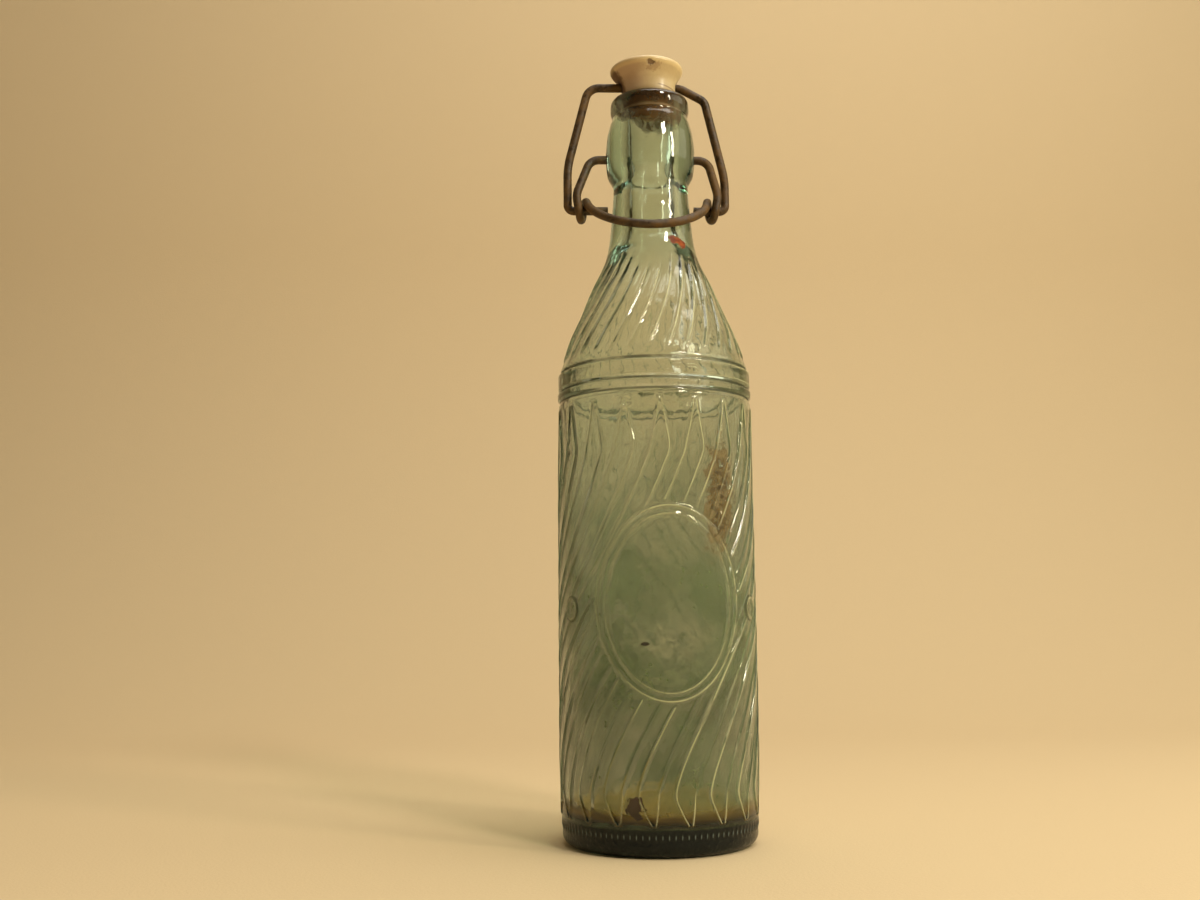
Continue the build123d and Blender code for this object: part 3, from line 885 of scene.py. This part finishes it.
pits = porcelain.bump(1 - chipped, 0.0006, 0.8, pits)
glazed = porcelain.surface(
    Base_Color=glaze, Roughness=0.36 + chipped * 0.3 + left_flank_brown * 0.4, IOR=1.52,
    Coat_Weight=0.25 - left_flank_brown * 0.25, Coat_Roughness=0.16, Normal=pits,
)
stopper.data.materials.append(porcelain.show(glazed))

# %% [markdown]
# ## Rubber and wire finishes
# The rubber is dark red-brown, dry and full of cracks, which are the borders between the
# cells of a Voronoi pattern. The wire has lost its tin: dark brown rust in patches, with
# brighter orange where it is fresh, and a dull shine only where a patch is rubbed smooth.
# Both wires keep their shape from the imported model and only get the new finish.

# %% Rubber
rubber = new_finish("perished_rubber")
lumps = rubber.noise(160, 4, 0.6)
cells = rubber.add(
    "ShaderNodeTexVoronoi", {"feature": "DISTANCE_TO_EDGE"}, rubber.place, None, 650.0
)
cracked = cells.fade(0.02, 0.1)
rubber_colour = rubber.blend(lumps.rise(0.35, 0.7), rgb(70, 40, 24), rgb(118, 78, 44))
rubber_colour = rubber.blend(cracked * 0.7, rubber_colour, rgb(34, 20, 12))
dry = rubber.bump(lumps, 0.0006, 0.6)
dry = rubber.bump(1 - cracked, 0.0004, 0.6, dry)
perished = rubber.surface(Base_Color=rubber_colour, Roughness=0.6 + lumps * 0.3, Normal=dry)
washer.data.materials.append(rubber.show(perished))

# %% Wire
wire = new_finish("rusted_wire")
flakes = wire.noise(230, 5, 0.65)
crust = wire.noise(1100, 4, 0.7)
broad = wire.noise(70, 2, 0.5)
rusty = (flakes * 0.6 + broad * 0.4).rise(0.4, 0.62)
wire_colour = wire.coats(
    rgb(58, 42, 16),
    (rusty, rgb(98, 70, 24)),
    (crust.rise(0.55, 0.75) * 0.5, rgb(132, 98, 36)),
    (flakes.fade(0.3, 0.42) * 0.7, rgb(38, 28, 14)),
)
flaking = wire.bump(flakes, 0.0005, 0.5)
flaking = wire.bump(crust, 0.00022, 0.6, flaking)
wire.show(wire.surface(
    Base_Color=wire_colour, Metallic=flakes.fade(0.34, 0.48) * 0.5,
    Roughness=0.42 + rusty * 0.3, Normal=flaking,
))
for name in ("bail", "lever"):
    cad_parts[name].material_slots[0].material = wire.owner

# %% [markdown]
# ## Floor and backdrop
# The bottle stands on a plain cream floor that curves up behind it into a backdrop, so that
# no horizon shows through the glass. It is one sheet: a line along Y that runs level, turns
# up in a quarter circle and ends upright, carried across in X. A weak bump of fine noise
# keeps it from looking like plastic.

# %% Floor
cream = new_finish("cream_floor")
weave = cream.noise(900, 3, 0.6)
floor_colour = cream.blend(weave, rgb(214, 192, 152), rgb(220, 198, 158))
woven = cream.bump(weave, 0.0004, 0.3)
cream.show(cream.surface(Base_Color=floor_colour, Roughness=0.9, Normal=woven))

SWEEP = 0.45
side_to_side = np.linspace(-1.5, 1.5, 3)
sweep_angle = np.linspace(0, np.pi / 2, 24)
back = np.r_[-1.6, 0.35 + SWEEP * np.sin(sweep_angle), 0.8]
rise = np.r_[0.0, SWEEP - SWEEP * np.cos(sweep_angle), 1.5]
sheet_points = np.stack(np.broadcast_arrays(side_to_side[:, None], back, rise), -1)
grid = np.arange(sheet_points[..., 0].size).reshape(sheet_points.shape[:2])
quads = np.stack([grid[:-1, :-1], grid[1:, :-1], grid[1:, 1:], grid[:-1, 1:]], -1).reshape(-1, 4)
sheet = bpy.data.meshes.new("floor")
sheet.from_pydata(sheet_points.reshape(-1, 3), [], quads.tolist())
sheet.polygons.foreach_set("use_smooth", np.ones(len(sheet.polygons), bool))
floor = bpy.data.objects.new("floor", sheet)
bpy.context.scene.collection.objects.link(floor)
floor.data.materials.append(cream.owner)
print("floor faces:", len(quads))

# %% [markdown]
# ## Light
# Glass shows what is round it more than what lights it. Two small warm lamps in front on the
# right, one high and one narrow and tall, draw thin bright lines along the moulded edges. A
# long panel on the right gives the silhouette a pale side. A wide panel overhead does most
# of the lighting and casts no hard shadow, and one more washes the backdrop. The world is as
# pale as the backdrop behind the bottle, brighter towards the right and darker in front,
# which keeps haze off the glass.

# %% Lights
def panel(name, place, target, width, height, watts, colour):
    """A soft rectangular light at a place, turned to face a target, with its width level."""
    data = bpy.data.lights.new(name, "AREA")
    data.shape, data.size, data.size_y = "RECTANGLE", width, height
    data.energy, data.color = watts, colour
    lamp = bpy.data.objects.new(name, data)
    away = np.array(place) - np.array(target)
    distance = np.linalg.norm(away)
    away = away / distance
    side = np.cross((0, 0, 1), away)
    side = side / np.linalg.norm(side)
    facing = Matrix(np.stack([side, np.cross(away, side), away], 1).tolist()).to_4x4()
    lamp.matrix_world = Matrix.Translation(place) @ facing
    bpy.context.scene.collection.objects.link(lamp)
    print(name, "is", round(float(distance), 2), "m from what it lights")


BODY_MIDDLE, NECK_FOOT = (0, 0, 0.14), (0, 0, 0.2)
NEUTRAL = 1.0, 0.96, 0.9
panel("high_lamp", (0.5, -0.75, 0.85), BODY_MIDDLE, 0.16, 0.16, 5.2, (1.0, 0.92, 0.78))
panel("side_lamp", (0.65, -0.46, 0.53), NECK_FOOT, 0.09, 0.26, 2.4, (1.0, 0.9, 0.68))
panel("right_panel", (1.2, -0.2, 0.75), NECK_FOOT, 1.0, 0.4, 1.6, (1.0, 0.95, 0.72))
panel("overhead", (0.25, 0.1, 1.3), (0, 0.1, 0), 1.0, 1.0, 6.2, NEUTRAL)
panel("backdrop_wash", (0.3, -0.2, 1.3), (0, 0.8, 0.35), 0.9, 0.4, 3.0, NEUTRAL)

# %% World
studio = Finish(bpy.data.worlds.new("studio"), "ShaderNodeOutputWorld", "Generated")
bpy.context.scene.world = studio.owner
toward_right, toward_back, _ = studio.axes()
air = studio.blend(toward_back.rise(-0.5, 0.15), rgb(120, 108, 88), rgb(222, 201, 160))
air = studio.blend(toward_right.rise(0.1, 0.9) * 0.7, air, rgb(255, 236, 188))
studio.show(studio.add("ShaderNodeBackground", None, air, 0.5))
bpy.context.scene.view_settings.view_transform = "Standard"
